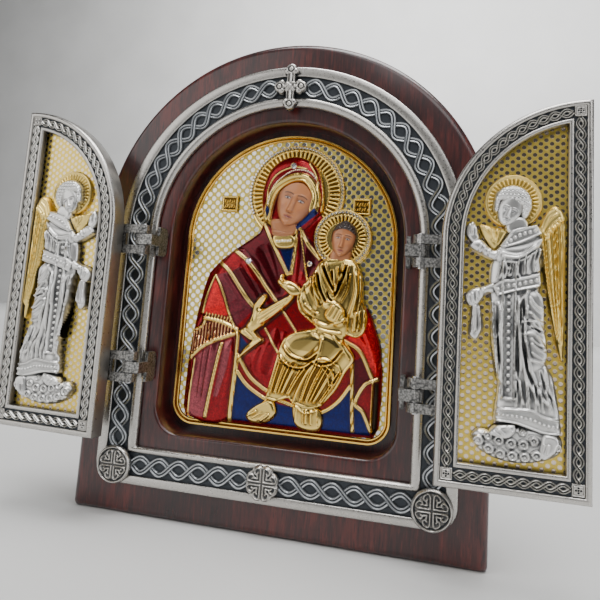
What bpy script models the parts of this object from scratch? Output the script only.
"""Desk triptych: an arched wooden board, a cast knotwork frame, a gilt icon and two hinged wings."""
import math

import bmesh
import bpy
from mathutils.geometry import delaunay_2d_cdt

# Shared clearances
GAP = 0.0003

# Everything is drawn with y = 0 on the board's front face, and then moved forward by half the
# board's depth, so that the origin is the middle of the underside.

# Wooden board
BOARD_HALF = 0.0575
BOARD_SPRING = 0.0805
BOARD_DEPTH = 0.024
BOARD_CORNER = 0.0012
BOARD_ROUND = 0.0022
BOARD_BACK_BEVEL = 0.0010

# Arched recess in the board that holds the icon
RECESS_HALF = 0.034
RECESS_BOTTOM = 0.0231
RECESS_CORNER = 0.008
RECESS_DEPTH = 0.009
RECESS_EASE = 0.0008

# All metal arches share one centre height
ARCH_SPRING = 0.0799

# Cast frame band: outer rim, sunk field, inner rim
BAND_BACK = -GAP
BAND_FRONT = -0.0020
BAND_OUTER = 0.0500
BAND_FIELD_OUTER = 0.0470
BAND_FIELD_INNER = 0.04085
BAND_INNER = 0.03822
BAND_BOTTOM = 0.0087
BAND_CORNER = 0.0061
FIELD_Y = -0.0012

# Two strand interlace in the field
KNOT_MID = 0.5 * (BAND_FIELD_OUTER + BAND_FIELD_INNER)
KNOT_BOTTOM = 0.01422
KNOT_SWING = 0.0021
KNOT_WIDTH = 0.00125
KNOT_HEIGHT = 0.0005
SIDE_LOOPS = 22
BOTTOM_LOOPS = 6

# Ornaments on the band
ORNAMENT_BACK = BAND_FRONT - GAP
MEDALLION_X = 0.04385
MEDALLION_Z = 0.01374
MEDALLION_RADIUS = 0.00515
ROSETTE_Z = 0.01427
ROSETTE_RADIUS = 0.0046
CROSS_Z = ARCH_SPRING + KNOT_MID - 0.000425
CROSS_ARM = 0.0036
CROSS_LEG = 0.0056

# Icon plate
ICON_HALF = 0.0319
ICON_BOTTOM = 0.0252
ICON_CORNER = 0.0065
ICON_BACK = RECESS_DEPTH - GAP
ICON_GROUND = 0.0013
ICON_RIM = 0.0022
ICON_RIM_WIDTH = 0.0009

# Hinge line and wings, in a frame with its origin on the pin axis
PIN_X = 0.03895
PIN_Y = -0.00815
PIN_RADIUS = 0.0009
BORE_RADIUS = PIN_RADIUS + GAP
BARREL_RADIUS = 0.0020
HINGE_HEIGHTS = {"upper": 0.0770, "lower": 0.0416}
HINGE_LENGTH = 0.0082
MIDDLE_KNUCKLE = 0.0029
LEAF_THICKNESS = 0.0008
NECK_EDGE = 0.0039
NECK_THICKNESS = 0.0010
LEAF_INNER_EDGE = NECK_EDGE + 2.5 * GAP
LEAF_OUTER_EDGE = 0.0084
LEFT_PAST_FLAT = math.radians(4.0)

WING_FACE = -0.00735
WING_DEPTH = 0.0050
WING_HINGE_EDGE = 0.00505
WING_FREE_EDGE = PIN_X - GAP
WING_BOTTOM = 0.0227
WING_RADIUS = 0.0339
WING_BORDER = 0.00535
WING_CHANNEL = (0.0015, 0.00435)
WING_CHANNEL_DEPTH = 0.0007
REBATE_DEPTH = 0.0023
REBATE_WIDTH = 0.0010
BACKPLATE_THICKNESS = 0.0010
WING_SQUARE = 0.0029

# Angel relief, heights measured from its flat back
ANGEL_BACK = WING_FACE + REBATE_DEPTH
HALO_RADIUS = 0.0065

MATERIALS = {
    "lacquered_wood": ((0.075, 0.016, 0.012), 0.25, 0.0),
    "aged_silver": ((0.62, 0.60, 0.57), 0.32, 1.0),
    "dark_silver": ((0.34, 0.34, 0.34), 0.40, 1.0),
    "bright_gold": ((0.90, 0.66, 0.22), 0.25, 1.0),
    "satin_gold": ((0.80, 0.66, 0.30), 0.38, 1.0),
    "polished_steel": ((0.55, 0.55, 0.56), 0.25, 1.0),
}


def clear_scene():
    for item in list(bpy.data.objects):
        bpy.data.objects.remove(item, do_unlink=True)


def make_material(name):
    color, roughness, metallic = MATERIALS[name]
    material = bpy.data.materials.new(name)
    material.use_nodes = True
    shader = material.node_tree.nodes["Principled BSDF"]
    shader.inputs["Base Color"].default_value = (*color, 1.0)
    shader.inputs["Roughness"].default_value = roughness
    shader.inputs["Metallic"].default_value = metallic
    material.diffuse_color = (*color, 1.0)
    return material


def finish(name, bm, material, smooth_angle=35.0):
    """Turn the built geometry into a named object with faces pointing out."""
    bmesh.ops.recalc_face_normals(bm, faces=bm.faces)
    mesh = bpy.data.meshes.new(name)
    bm.to_mesh(mesh)
    bm.free()
    item = bpy.data.objects.new(name, mesh)
    bpy.context.collection.objects.link(item)
    mesh.materials.append(material)
    mesh.shade_smooth()
    mesh.set_sharp_from_angle(angle=math.radians(smooth_angle))
    return item


def combine(target, tool, operation):
    """Join or cut one object with another and drop the tool."""
    modifier = target.modifiers.new("combine", "BOOLEAN")
    modifier.operation = operation
    modifier.solver = "EXACT"
    modifier.object = tool
    depsgraph = bpy.context.evaluated_depsgraph_get()
    mesh = bpy.data.meshes.new_from_object(target.evaluated_get(depsgraph))
    target.modifiers.clear()
    target.data = mesh
    bpy.data.objects.remove(tool, do_unlink=True)
    return target


def loft(name, rings, material, closed=False):
    """Skin a list of (outline, y) rings; a closed loft runs back to its first ring."""
    bm = bmesh.new()
    layers = [[bm.verts.new((x, y, z)) for x, z in outline] for outline, y in rings]
    pairs = list(zip(layers, layers[1:]))
    if closed:
        pairs.append((layers[-1], layers[0]))
    count = len(layers[0])
    for first, second in pairs:
        for i in range(count):
            j = (i + 1) % count
            bm.faces.new((first[i], first[j], second[j], second[i]))
    if not closed:
        bm.faces.new(layers[0])
        bm.faces.new(list(reversed(layers[-1])))
    return finish(name, bm, material)


def box(name, low, high, material):
    bm = bmesh.new()
    bmesh.ops.create_cube(bm, size=1.0)
    for vert in bm.verts:
        for axis in range(3):
            middle = 0.5 * (low[axis] + high[axis])
            vert.co[axis] = middle + vert.co[axis] * (high[axis] - low[axis])
    return finish(name, bm, material)


def post(name, radius, low, high, material, sides=14, center=(0.0, 0.0)):
    """Upright round bar."""
    bm = bmesh.new()
    bmesh.ops.create_cone(bm, cap_ends=True, segments=sides, radius1=radius, radius2=radius, depth=high - low)
    bmesh.ops.translate(bm, verts=bm.verts, vec=(center[0], center[1], 0.5 * (low + high)))
    return finish(name, bm, material)


# Outlines in the plane of the front face, as (x, z) points


def arch_loop(half, spring, bottom, corner, arc_steps, corner_steps=3):
    """Arch with a straight base and rounded lower corners."""
    points = []
    for step in range(arc_steps + 1):
        angle = math.pi * step / arc_steps
        points.append((half * math.cos(angle), spring + half * math.sin(angle)))
    for side, start in ((-1, math.pi), (1, 1.5 * math.pi)):
        center = side * (half - corner)
        for step in range(corner_steps + 1):
            angle = start + 0.5 * math.pi * step / corner_steps
            points.append((center + corner * math.cos(angle), bottom + corner + corner * math.sin(angle)))
    return points


def wing_loop(inset, arc_steps=12):
    """Half arch of a wing, its hinge side towards x = 0, drawn in by inset."""
    radius = WING_RADIUS - inset
    free = WING_FREE_EDGE - inset
    hinge = WING_HINGE_EDGE + inset
    base = WING_BOTTOM + 1.08 * inset
    start = math.pi
    end = math.acos((free - PIN_X) / radius)
    points = []
    for step in range(arc_steps + 1):
        angle = start + (end - start) * step / arc_steps
        points.append((PIN_X + radius * math.cos(angle), ARCH_SPRING + radius * math.sin(angle)))
    points[0] = (hinge, ARCH_SPRING)
    points.append((free, base))
    points.append((hinge, base))
    return list(reversed(points))


def circle(center, radius, sides, squash=1.0, turn=0.0):
    points = []
    for step in range(sides):
        angle = 2.0 * math.pi * step / sides
        x, z = radius * math.cos(angle), squash * radius * math.sin(angle)
        points.append((center[0] + x * math.cos(turn) - z * math.sin(turn),
                       center[1] + x * math.sin(turn) + z * math.cos(turn)))
    return points


def limb(start, end, start_radius, end_radius, sides=4):
    """Outline of a tapered limb with round ends."""
    heading = math.atan2(end[1] - start[1], end[0] - start[0])
    points = []
    for (center, radius, first) in ((end, end_radius, heading - 0.5 * math.pi),
                                    (start, start_radius, heading + 0.5 * math.pi)):
        for step in range(sides + 1):
            angle = first + math.pi * step / sides
            points.append((center[0] + radius * math.cos(angle), center[1] + radius * math.sin(angle)))
    return points


def rows_outline(rows):
    """Outline of a standing form given as (z, left, right) rows from top to bottom."""
    left = [(row[1], row[0]) for row in rows]
    right = [(row[2], row[0]) for row in reversed(rows)]
    return left + right


def strip(points, half_width):
    """Outline of a strap of even width along a line of points."""
    sides = ([], [])
    for i, point in enumerate(points):
        before = points[max(i - 1, 0)]
        after = points[min(i + 1, len(points) - 1)]
        dx, dz = after[0] - before[0], after[1] - before[1]
        length = math.hypot(dx, dz)
        nx, nz = -dz / length, dx / length
        sides[0].append((point[0] + nx * half_width, point[1] + nz * half_width))
        sides[1].append((point[0] - nx * half_width, point[1] - nz * half_width))
    return sides[0] + list(reversed(sides[1]))


# Low relief: overlapping outlines, each with an edge height, a top height and a bevel width


def signed_area(points):
    return 0.5 * sum(a[0] * b[1] - b[0] * a[1] for a, b in zip(points, points[1:] + points[:1]))


def edge_distance(point, outline):
    best = 1.0
    for a, b in zip(outline, outline[1:] + outline[:1]):
        dx, dz = b[0] - a[0], b[1] - a[1]
        t = ((point[0] - a[0]) * dx + (point[1] - a[1]) * dz) / max(dx * dx + dz * dz, 1e-18)
        t = min(1.0, max(0.0, t))
        best = min(best, math.hypot(point[0] - a[0] - t * dx, point[1] - a[1] - t * dz))
    return best


def is_inside(point, outline):
    inside = False
    for a, b in zip(outline, outline[1:] + outline[:1]):
        if (a[1] > point[1]) != (b[1] > point[1]):
            if point[0] < a[0] + (b[0] - a[0]) * (point[1] - a[1]) / (b[1] - a[1]):
                inside = not inside
    return inside


def drawn_in(outline, distance):
    """Outline moved inwards by a distance; counter-clockwise input."""
    result = []
    count = len(outline)
    for i in range(count):
        before, here, after = outline[i - 1], outline[i], outline[(i + 1) % count]
        ax, az = here[0] - before[0], here[1] - before[1]
        bx, bz = after[0] - here[0], after[1] - here[1]
        la, lb = max(math.hypot(ax, az), 1e-9), max(math.hypot(bx, bz), 1e-9)
        nx, nz = -az / la - bz / lb, ax / la + bx / lb
        scale = distance * 2.0 / max(nx * nx + nz * nz, 0.8)
        result.append((here[0] + nx * scale, here[1] + nz * scale))
    return result


def relief(name, shapes, creases, back_y, material, smooth_angle=40.0):
    """Closed solid with a flat back at back_y whose front carries the shapes and creases."""
    points, faces, edges, fixed = [], [], [], {}
    outlines = []
    for outline, edge, top, bevel in shapes:
        ring = outline if signed_area(outline) > 0 else list(reversed(outline))
        outlines.append((ring, edge, top, bevel))
        faces.append(list(range(len(points), len(points) + len(ring))))
        points.extend(ring)
        if bevel > 0.0:
            inner = [p for p in drawn_in(ring, bevel)]
            kept = all(is_inside(p, ring) for p in inner)
            if kept:
                first = len(points)
                points.extend(inner)
                edges.extend((first + i, first + (i + 1) % len(inner)) for i in range(len(inner)))
    for line, height in creases:
        first = len(points)
        points.extend(line)
        for i in range(len(line)):
            fixed[first + i] = height
        edges.extend((first + i, first + i + 1) for i in range(len(line) - 1))
    plane, _, triangles, origin, _, owner = delaunay_2d_cdt(points, edges, faces, 0, 1e-7)
    triangles = [tri for tri, own in zip(triangles, owner) if own]

    def height_at(index):
        for source in origin[index]:
            if source in fixed:
                return fixed[source]
        point = plane[index]
        height = 0.0
        for ring, edge, top, bevel in outlines:
            distance = edge_distance(point, ring)
            if distance < 2e-6:
                height = max(height, edge)
            elif is_inside(point, ring):
                share = 1.0 if bevel <= 0.0 else min(1.0, distance / bevel)
                height = max(height, edge + (top - edge) * math.sin(0.5 * math.pi * share))
        return max(height, 0.0002)

    bm = bmesh.new()
    used = sorted({index for tri in triangles for index in tri})
    front = {i: bm.verts.new((plane[i][0], back_y - height_at(i), plane[i][1])) for i in used}
    for tri in triangles:
        bm.faces.new([front[i] for i in tri])
    rim = [edge for edge in bm.edges if len(edge.link_faces) == 1]
    back = {}
    for edge in rim:
        for vert in edge.verts:
            if vert not in back:
                back[vert] = bm.verts.new((vert.co.x, back_y, vert.co.z))
    floor_edges = []
    for edge in rim:
        a, b = edge.verts
        bm.faces.new((a, b, back[b], back[a]))
        floor_edges.append(bm.edges.get((back[a], back[b])))
    bmesh.ops.triangle_fill(bm, edges=floor_edges, use_beauty=True)
    return finish(name, bm, material, smooth_angle)


def mirrored(outline, side):
    """Outline for the right side, or its mirror image for the left."""
    return [(side * x, z) for x, z in outline]


# Wood and frame


def build_board(material):
    steps = 36

    def board_ring(inset, y):
        outline = arch_loop(BOARD_HALF - inset, BOARD_SPRING, inset, BOARD_CORNER, steps)
        return outline, y

    def recess_ring(grow, y):
        outline = arch_loop(RECESS_HALF + grow, ARCH_SPRING, RECESS_BOTTOM - grow, RECESS_CORNER + grow, steps)
        return outline, y

    rings = [recess_ring(0.0, RECESS_DEPTH), recess_ring(0.0, RECESS_EASE), recess_ring(RECESS_EASE, 0.0)]
    for step in range(3):
        turn = 0.5 * math.pi * step / 2
        rings.append(board_ring(BOARD_ROUND * (1.0 - math.sin(turn)), BOARD_ROUND * (1.0 - math.cos(turn))))
    rings.append(board_ring(0.0, BOARD_DEPTH - BOARD_BACK_BEVEL))
    rings.append(board_ring(BOARD_BACK_BEVEL, BOARD_DEPTH))
    return loft("wooden_board", rings, material)


def knot_runs():
    """Centre lines of the interlace: two sides over the arch and two runs along the base."""
    rise = ARCH_SPRING - MEDALLION_Z - MEDALLION_RADIUS + 0.0006
    side_length = rise + 0.5 * math.pi * KNOT_MID - 0.0038
    base_start = MEDALLION_X - MEDALLION_RADIUS + 0.0004
    base_length = base_start - ROSETTE_RADIUS + 0.0006

    def side_point(distance, offset, side):
        if distance < rise:
            return side * (KNOT_MID + offset), ARCH_SPRING - rise + distance
        angle = (distance - rise) / KNOT_MID
        radius = KNOT_MID + offset
        return side * radius * math.cos(angle), ARCH_SPRING + radius * math.sin(angle)

    def base_point(distance, offset, side):
        return side * (base_start - distance), KNOT_BOTTOM + offset

    for side in (-1, 1):
        yield side_point, side_length, SIDE_LOOPS, side
        yield base_point, base_length, BOTTOM_LOOPS, side


def build_band(material):
    profile = (
        (BAND_OUTER, BAND_BOTTOM, BAND_CORNER, BAND_BACK),
        (BAND_OUTER, BAND_BOTTOM, BAND_CORNER, BAND_FRONT + 0.0005),
        (BAND_OUTER - 0.0005, BAND_BOTTOM + 0.0005, BAND_CORNER - 0.0005, BAND_FRONT),
        (BAND_FIELD_OUTER + 0.0002, 0.01096, 0.0031, BAND_FRONT),
        (BAND_FIELD_OUTER, 0.01116, 0.0029, FIELD_Y),
        (BAND_FIELD_INNER, 0.01729, 0.0006, FIELD_Y),
        (BAND_FIELD_INNER - 0.0004, 0.01769, 0.0005, BAND_FRONT + 0.0004),
        (0.5 * (BAND_FIELD_INNER + BAND_INNER), 0.01812, 0.0005, BAND_FRONT),
        (BAND_INNER, 0.01896, 0.0004, BAND_FRONT + 0.0006),
        (BAND_INNER, 0.01896, 0.0004, BAND_BACK),
    )
    rings = [(arch_loop(half, ARCH_SPRING, bottom, corner, 28, 2), y) for half, bottom, corner, y in profile]
    band = loft("frame_band", rings, material, closed=True)
    for number, (place, length, loops, side) in enumerate(knot_runs()):
        strands = []
        for sign in (-1, 1):
            line = []
            for step in range(3 * loops + 1):
                swing = sign * KNOT_SWING * math.sin(math.pi * step / 3.0) / math.sin(math.pi / 3.0)
                line.append(place(length * step / (3.0 * loops), swing, side))
            strands.append((strip(line, 0.5 * KNOT_WIDTH), 0.0003 + KNOT_HEIGHT, 0.0003 + KNOT_HEIGHT, 0.0))
        run = relief("interlace_%d" % number, strands, [], FIELD_Y + 0.0003, material)
        combine(band, run, "UNION")
    band.data.shade_smooth()
    band.data.set_sharp_from_angle(angle=math.radians(35))
    return band


def build_ornaments(material):
    """Medallions, rosette and crest cross, each a small casting on the band."""
    height = 0.0008
    for name, side in (("medallion_left", -1), ("medallion_right", 1)):
        center = (side * MEDALLION_X, MEDALLION_Z)
        shapes = [(circle(center, MEDALLION_RADIUS, 18), 0.0008, height, 0.0004)]
        creases = []
        for radius, level in ((0.88, 1.4), (0.77, 0.8)):
            ring = circle(center, radius * MEDALLION_RADIUS, 18)
            creases.append((ring + ring[:1], level * height))
        for turn in range(4):
            angle = 0.5 * math.pi * turn
            tip = (center[0] + 0.0021 * math.cos(angle), center[1] + 0.0021 * math.sin(angle))
            shapes.append((circle(tip, 0.0014, 6), height, 1.5 * height, 0.0005))
        relief(name, shapes, creases, ORNAMENT_BACK, material)
    lobes = []
    for step in range(24):
        angle = 2.0 * math.pi * step / 24
        radius = ROSETTE_RADIUS * (0.95 + 0.05 * math.cos(8.0 * angle))
        lobes.append((radius * math.cos(angle), ROSETTE_Z + radius * math.sin(angle)))
    shapes = [(lobes, 0.7 * height, height, 0.0006)]
    for turn in range(4):
        angle = 0.5 * math.pi * turn
        tip = (0.0023 * math.cos(angle), ROSETTE_Z + 0.0023 * math.sin(angle))
        shapes.append((circle(tip, 0.0012, 6), height, 1.5 * height, 0.0004))
    relief("bottom_rosette", shapes, [], ORNAMENT_BACK, material)
    center = (0.0, CROSS_Z)
    shapes = [(circle(center, 0.0016, 6), 1.4 * height, 1.9 * height, 0.0008)]
    for turn in range(4):
        angle = 0.5 * math.pi * turn
        reach = CROSS_LEG if turn % 2 else CROSS_ARM
        along, across = (math.cos(angle), math.sin(angle)), (-math.sin(angle), math.cos(angle))
        tip = (along[0] * reach, CROSS_Z + along[1] * reach)
        shapes.append((strip([center, tip], 0.0008), 1.4 * height, 1.4 * height, 0.0))
        for reach_step, side_step in ((0.0006, 0.0), (-0.0004, 0.0011), (-0.0004, -0.0011)):
            bud = (tip[0] + along[0] * reach_step + across[0] * side_step,
                   tip[1] + along[1] * reach_step + across[1] * side_step)
            shapes.append((circle(bud, 0.0008, 5), 1.4 * height, 1.4 * height, 0.0))
    relief("crest_cross", shapes, [], ORNAMENT_BACK, material)


# Icon plate: mother and child in relief


def build_icon(material):
    plate = arch_loop(ICON_HALF, ARCH_SPRING, ICON_BOTTOM, ICON_CORNER, 28, 4)
    rows = ((0.0845, -0.0076, 0.0098), (0.0805, -0.0112, 0.0160), (0.0760, -0.0153, 0.0192),
            (0.0700, -0.0212, 0.0215), (0.0620, -0.0245, 0.0236), (0.0540, -0.0254, 0.0262),
            (0.0460, -0.0269, 0.0284), (0.0380, -0.0272, 0.0292), (0.0275, -0.0262, 0.0280))
    shapes = [
        (plate, ICON_RIM, ICON_GROUND, 0.0),
        (circle((0.0012, 0.0940), 0.0147, 28), 0.0017, 0.0020, 0.0008),
        (circle((0.0161, 0.0812), 0.0084, 20), 0.0026, 0.0030, 0.0008),
        (circle((0.0014, 0.0935), 0.0090, 16, 1.16), 0.0028, 0.0044, 0.0022),
        (rows_outline(rows), 0.0020, 0.0036, 0.0022),
        (limb((-0.0188, 0.0680), (-0.0180, 0.0560), 0.0045, 0.0062), 0.0028, 0.0046, 0.0026),
        (limb((-0.0160, 0.0525), (-0.0085, 0.0515), 0.0030, 0.0026), 0.0030, 0.0045, 0.0014),
        (limb((-0.0070, 0.0538), (0.0022, 0.0628), 0.0019, 0.0009), 0.0034, 0.0047, 0.0010),
        (limb((0.0170, 0.0708), (0.0150, 0.0600), 0.0058, 0.0074), 0.0034, 0.0048, 0.0030),
        (limb((0.0150, 0.0560), (0.0052, 0.0520), 0.0058, 0.0036), 0.0036, 0.0052, 0.0024),
        (limb((0.0040, 0.0490), (-0.0016, 0.0366), 0.0034, 0.0036), 0.0034, 0.0049, 0.0020),
        (limb((0.0128, 0.0490), (0.0098, 0.0366), 0.0048, 0.0044), 0.0034, 0.0050, 0.0024),
        (limb((-0.0052, 0.0318), (0.0000, 0.0302), 0.0016, 0.0014), 0.0030, 0.0042, 0.0008),
        (limb((0.0088, 0.0318), (0.0138, 0.0300), 0.0016, 0.0014), 0.0030, 0.0042, 0.0008),
        (circle((0.0167, 0.0808), 0.0042, 14, 1.18), 0.0036, 0.0050, 0.0018),
        (limb((0.0122, 0.0704), (0.0040, 0.0664), 0.0021, 0.0014), 0.0040, 0.0053, 0.0010),
        (limb((0.0026, 0.0668), (0.0008, 0.0688), 0.0011, 0.0006), 0.0040, 0.0052, 0.0006),
        (limb((0.0245, 0.0500), (0.0185, 0.0486), 0.0017, 0.0013), 0.0040, 0.0052, 0.0008),
    ]
    for x, z in ((-0.0193, 0.0905), (0.0210, 0.0913)):
        tile = [(x - 0.0024, z - 0.0022), (x + 0.0024, z - 0.0022), (x + 0.0024, z + 0.0022), (x - 0.0024, z + 0.0022)]
        shapes.append((tile, 0.0018, 0.0018, 0.0))
    creases = []
    for width, height in ((ICON_RIM_WIDTH, ICON_RIM), (ICON_RIM_WIDTH + 0.0003, ICON_GROUND)):
        ring = arch_loop(ICON_HALF - width, ARCH_SPRING, ICON_BOTTOM + width, ICON_CORNER - width, 28, 4)
        creases.append((ring + ring[:1], height))
    face = circle((0.0020, 0.0905), 0.0048, 12, 1.3, math.radians(-20))
    creases.append((face + face[:1], 0.0040))
    for step in range(7):
        top = (-0.0238 + 0.0040 * step, 0.0460 - 0.0004 * step)
        foot = (-0.0240 + 0.0046 * step, 0.0295)
        creases.append(([top, foot], 0.0042 if step % 2 else 0.0030))
    for step in range(4):
        creases.append(([(0.0238 + 0.0012 * step, 0.0600 - 0.0060 * step),
                         (0.0236 + 0.0012 * step, 0.0330 + 0.0006 * step)], 0.0042 if step % 2 else 0.0028))
    return relief("icon_plate", shapes, creases, ICON_BACK, material)


# Wings


def wing_frame(name, side, material):
    low, high = WING_CHANNEL
    profile = (
        (0.0, WING_FACE + WING_DEPTH), (0.0, WING_FACE + 0.0010), (0.0007, WING_FACE), (low, WING_FACE + 0.0001),
        (low + 0.0001, WING_FACE + WING_CHANNEL_DEPTH), (high - 0.0001, WING_FACE + WING_CHANNEL_DEPTH),
        (high, WING_FACE + 0.0001), (WING_BORDER, WING_FACE + 0.0003), (WING_BORDER, WING_FACE + REBATE_DEPTH),
        (WING_BORDER - REBATE_WIDTH, WING_FACE + REBATE_DEPTH),
        (WING_BORDER - REBATE_WIDTH, WING_FACE + WING_DEPTH),
    )
    rings = [(mirrored(wing_loop(inset), side), y) for inset, y in profile]
    frame = loft(name, rings, material, closed=True)
    middle = 0.5 * (low + high)
    top_x = WING_FREE_EDGE - middle
    top_z = ARCH_SPRING + math.sqrt((WING_RADIUS - middle) ** 2 - (top_x - PIN_X) ** 2)
    base_z = WING_BOTTOM + 1.08 * middle
    for x, z in ((top_x, top_z), (top_x, base_z), (WING_HINGE_EDGE + middle, base_z)):
        half = 0.5 * WING_SQUARE + 0.00005
        ends = sorted((side * (x - half), side * (x + half)))
        tile = box("corner_square", (ends[0], WING_FACE + 0.0002, z - half),
                   (ends[1], WING_FACE + 0.0012, z + half), material)
        combine(frame, tile, "UNION")
    frame.data.shade_smooth()
    frame.data.set_sharp_from_angle(angle=math.radians(35))
    return frame


def wing_backplate(name, side, material):
    outline = mirrored(wing_loop(WING_BORDER - REBATE_WIDTH + GAP), side)
    front = WING_FACE + REBATE_DEPTH + GAP
    return loft(name, [(outline, front), (outline, front + BACKPLATE_THICKNESS)], material)


def angel(name, side, material):
    body = ((0.0822, 0.0198, 0.0262), (0.0795, 0.0182, 0.0278), (0.0720, 0.0170, 0.0280), (0.0675, 0.0166, 0.0280),
            (0.0600, 0.0173, 0.0288), (0.0520, 0.0184, 0.0294), (0.0460, 0.0187, 0.0312), (0.0408, 0.0188, 0.0321),
            (0.0372, 0.0187, 0.0321))
    wing = ((0.0878, 0.0300, 0.0318), (0.0855, 0.0284, 0.0327), (0.0800, 0.0268, 0.0328), (0.0700, 0.0272, 0.0328),
            (0.0600, 0.0288, 0.0328), (0.0528, 0.0312, 0.0326))
    shapes = [
        (circle((0.0213, 0.0892), HALO_RADIUS, 16), 0.0008, 0.0009, 0.0),
        (rows_outline(wing), 0.0008, 0.0014, 0.0008),
        (rows_outline(body), 0.0012, 0.0024, 0.0018),
        (circle((0.0208, 0.0891), 0.0037, 12, 1.06), 0.0016, 0.0030, 0.0016),
        (strip([(0.0210, 0.0862), (0.0224, 0.0822)], 0.0017), 0.0020, 0.0020, 0.0),
        (limb((0.0266, 0.0790), (0.0278, 0.0745), 0.0018, 0.0017, 3), 0.0014, 0.0028, 0.0011),
        (limb((0.0200, 0.0790), (0.0180, 0.0766), 0.0018, 0.0015, 3), 0.0014, 0.0028, 0.0010),
        (limb((0.0180, 0.0766), (0.0144, 0.0790), 0.0014, 0.0011, 3), 0.0012, 0.0027, 0.0009),
        (limb((0.0138, 0.0794), (0.0131, 0.0822), 0.0008, 0.0006, 2), 0.0022, 0.0022, 0.0),
        (limb((0.0225, 0.0705), (0.0160, 0.0678), 0.0018, 0.0013, 3), 0.0014, 0.0030, 0.0010),
        (limb((0.0152, 0.0672), (0.0135, 0.0654), 0.0009, 0.0006, 2), 0.0022, 0.0022, 0.0),
        (strip([(0.0158, 0.0662), (0.0150, 0.0610), (0.0142, 0.0566)], 0.0011), 0.0008, 0.0016, 0.0006),
        (strip([(0.0186, 0.0396), (0.0250, 0.0392), (0.0320, 0.0380)], 0.0013), 0.0018, 0.0029, 0.0006),
        (limb((0.0200, 0.0366), (0.0222, 0.0358), 0.0010, 0.0009, 2), 0.0022, 0.0022, 0.0),
        (limb((0.0302, 0.0366), (0.0312, 0.0340), 0.0010, 0.0009, 2), 0.0022, 0.0022, 0.0),
    ]
    for step in range(4):
        tip = (0.0142 + 0.0004 * abs(step - 1), 0.0828 - 0.0017 * step)
        shapes.append((limb((0.0200, 0.0815 - 0.0006 * step), tip, 0.0010, 0.0006, 2), 0.0012, 0.0012, 0.0))
    for step in range(7):
        share = step / 6.0
        puff = (0.0158 + 0.0152 * share, 0.0336 - 0.0012 * math.sin(math.pi * share) + 0.0010 * (step % 2))
        shapes.append((circle(puff, 0.0019, 6), 0.0012, 0.0020, 0.0011))
    creases = [([(0.0206, 0.0745), (0.0212, 0.0445)], 0.0031)]
    for step in range(5):
        top = (0.0240 + 0.0009 * step, 0.0680)
        middle = (0.0245 + 0.0011 * step, 0.0560)
        foot = (0.0238 + 0.0019 * step, 0.0420)
        creases.append(([top, middle, foot], 0.0030 if step % 2 else 0.0021))
    for step in range(3):
        x = 0.0296 + 0.0010 * step
        creases.append(([(x + 0.0003, 0.0840), (x, 0.0740), (x + 0.0007, 0.0620)], 0.0016 if step % 2 else 0.0010))
    shapes = [(mirrored(outline, side), edge, top, bevel) for outline, edge, top, bevel in shapes]
    creases = [(mirrored(line, side), height) for line, height in creases]
    return relief(name, shapes, creases, ANGEL_BACK, material)


# Hinges


def knuckle(name, low, high, reach, direction, material):
    """One knuckle with its strap reaching along x; origin on the pin axis."""
    piece = post(name, BARREL_RADIUS, low, high, material, sides=12)
    ends = sorted((0.0, direction * reach))
    strap = box("strap", (ends[0], -BARREL_RADIUS + 0.00003, low), (ends[1], -BARREL_RADIUS + LEAF_THICKNESS, high),
                material)
    return combine(piece, strap, "UNION")


def moving_leaf(name, side, material):
    """Leaf under the wing with an upper and a lower knuckle."""
    half, middle = 0.5 * HINGE_LENGTH, 0.5 * MIDDLE_KNUCKLE
    inner_edge, outer_edge = LEAF_INNER_EDGE, LEAF_OUTER_EDGE
    leaf = knuckle(name, middle + GAP, half, 0.5 * (inner_edge + outer_edge), side, material)
    lower = knuckle("lower_knuckle", -half, -middle - GAP, 0.5 * (inner_edge + outer_edge), side, material)
    combine(leaf, lower, "UNION")
    ends = sorted((side * inner_edge, side * outer_edge))
    plate = box("plate", (ends[0], -BARREL_RADIUS + 0.00003, -half), (ends[1], -BARREL_RADIUS + LEAF_THICKNESS, half),
                material)
    combine(leaf, plate, "UNION")
    bore = post("bore", BORE_RADIUS, -2.0 * half, 2.0 * half, material, sides=8)
    return combine(leaf, bore, "DIFFERENCE")


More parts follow.
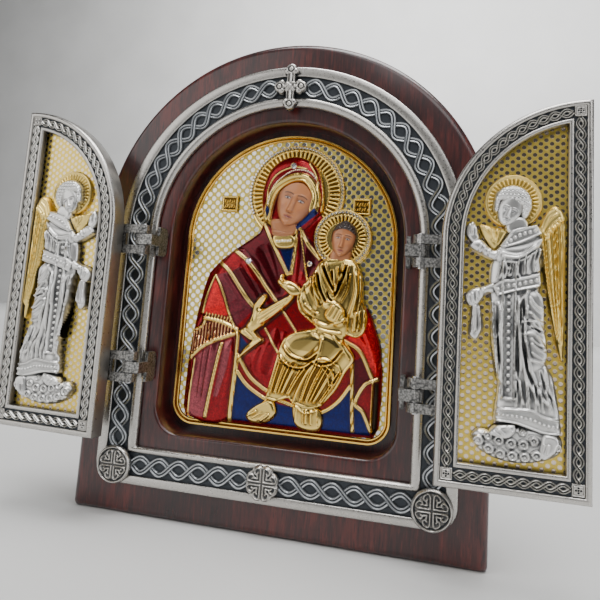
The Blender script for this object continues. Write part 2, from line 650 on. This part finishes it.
def fixed_leaf(name, side, material):
    """Leaf standing on the board inside the band, with the middle knuckle."""
    half, middle = 0.5 * HINGE_LENGTH, 0.5 * MIDDLE_KNUCKLE
    near, far = -side * (NECK_EDGE - NECK_THICKNESS), -side * NECK_EDGE
    leaf = knuckle(name, -middle, middle, NECK_EDGE, -side, material)
    ends = sorted((near, far))
    neck = box("neck", (ends[0], -BARREL_RADIUS + 0.00003, -middle), (ends[1], 0.0040, middle), material)
    combine(leaf, neck, "UNION")
    foot_y = -GAP - PIN_Y
    shoulder_y, chamfer = 0.0028, 0.0012
    bm = bmesh.new()
    outline = ((shoulder_y, -half), (foot_y - chamfer, -half), (foot_y, -half + chamfer), (foot_y, half - chamfer),
               (foot_y - chamfer, half), (shoulder_y, half))
    layers = [[bm.verts.new((x, y, z)) for y, z in outline] for x in ends]
    bm.faces.new(layers[0])
    bm.faces.new(list(reversed(layers[1])))
    for i in range(len(outline)):
        j = (i + 1) % len(outline)
        bm.faces.new((layers[0][i], layers[0][j], layers[1][j], layers[1][i]))
    combine(leaf, finish("plate", bm, material), "UNION")
    foot_ends = sorted((-side * (PIN_X - BAND_INNER + 0.0004), far))
    foot = box("foot", (foot_ends[0], foot_y - LEAF_THICKNESS, -half + chamfer), (foot_ends[1], foot_y, half - chamfer),
               material)
    combine(leaf, foot, "UNION")
    bore = post("bore", BORE_RADIUS, -2.0 * half, 2.0 * half, material, sides=8)
    return combine(leaf, bore, "DIFFERENCE")


def sharpen(item):
    item.data.shade_smooth()
    item.data.set_sharp_from_angle(angle=math.radians(35))


def build_wing(label, side, turn, paint):
    """Wing, its leaves and its pins, hung from an empty on the pin axis."""
    pivot = bpy.data.objects.new("pivot_" + label, None)
    bpy.context.collection.objects.link(pivot)
    pivot.location = (side * PIN_X, PIN_Y, 0.0)
    pivot.rotation_euler = (0.0, 0.0, turn)
    moving = [
        wing_frame("wing_frame_" + label, side, paint["aged_silver"]),
        wing_backplate("wing_backplate_" + label, side, paint["satin_gold"]),
        angel("angel_" + label, side, paint["aged_silver"]),
    ]
    for level, height in HINGE_HEIGHTS.items():
        leaf = moving_leaf("hinge_%s_%s_wing_leaf" % (label, level), side, paint["dark_silver"])
        leaf.location.z = height
        sharpen(leaf)
        moving.append(leaf)
        fixed = fixed_leaf("hinge_%s_%s_fixed_leaf" % (label, level), side, paint["dark_silver"])
        fixed.location = (side * PIN_X, PIN_Y, height)
        sharpen(fixed)
        half = 0.5 * HINGE_LENGTH
        pin = post("hinge_%s_%s_pin" % (label, level), PIN_RADIUS, -half - 0.0004, half + 0.0004,
                   paint["polished_steel"], sides=10)
        pin.location = (side * PIN_X, PIN_Y, height)
    for item in moving:
        item.parent = pivot


def build():
    clear_scene()
    paint = {name: make_material(name) for name in MATERIALS}
    build_board(paint["lacquered_wood"])
    build_band(paint["aged_silver"])
    build_ornaments(paint["aged_silver"])
    build_icon(paint["bright_gold"])
    build_wing("left", -1, -LEFT_PAST_FLAT, paint)
    build_wing("right", 1, 0.0, paint)
    for item in bpy.data.objects:
        if item.parent is None:
            item.location.y -= 0.5 * BOARD_DEPTH
    bpy.context.view_layer.update()


build()
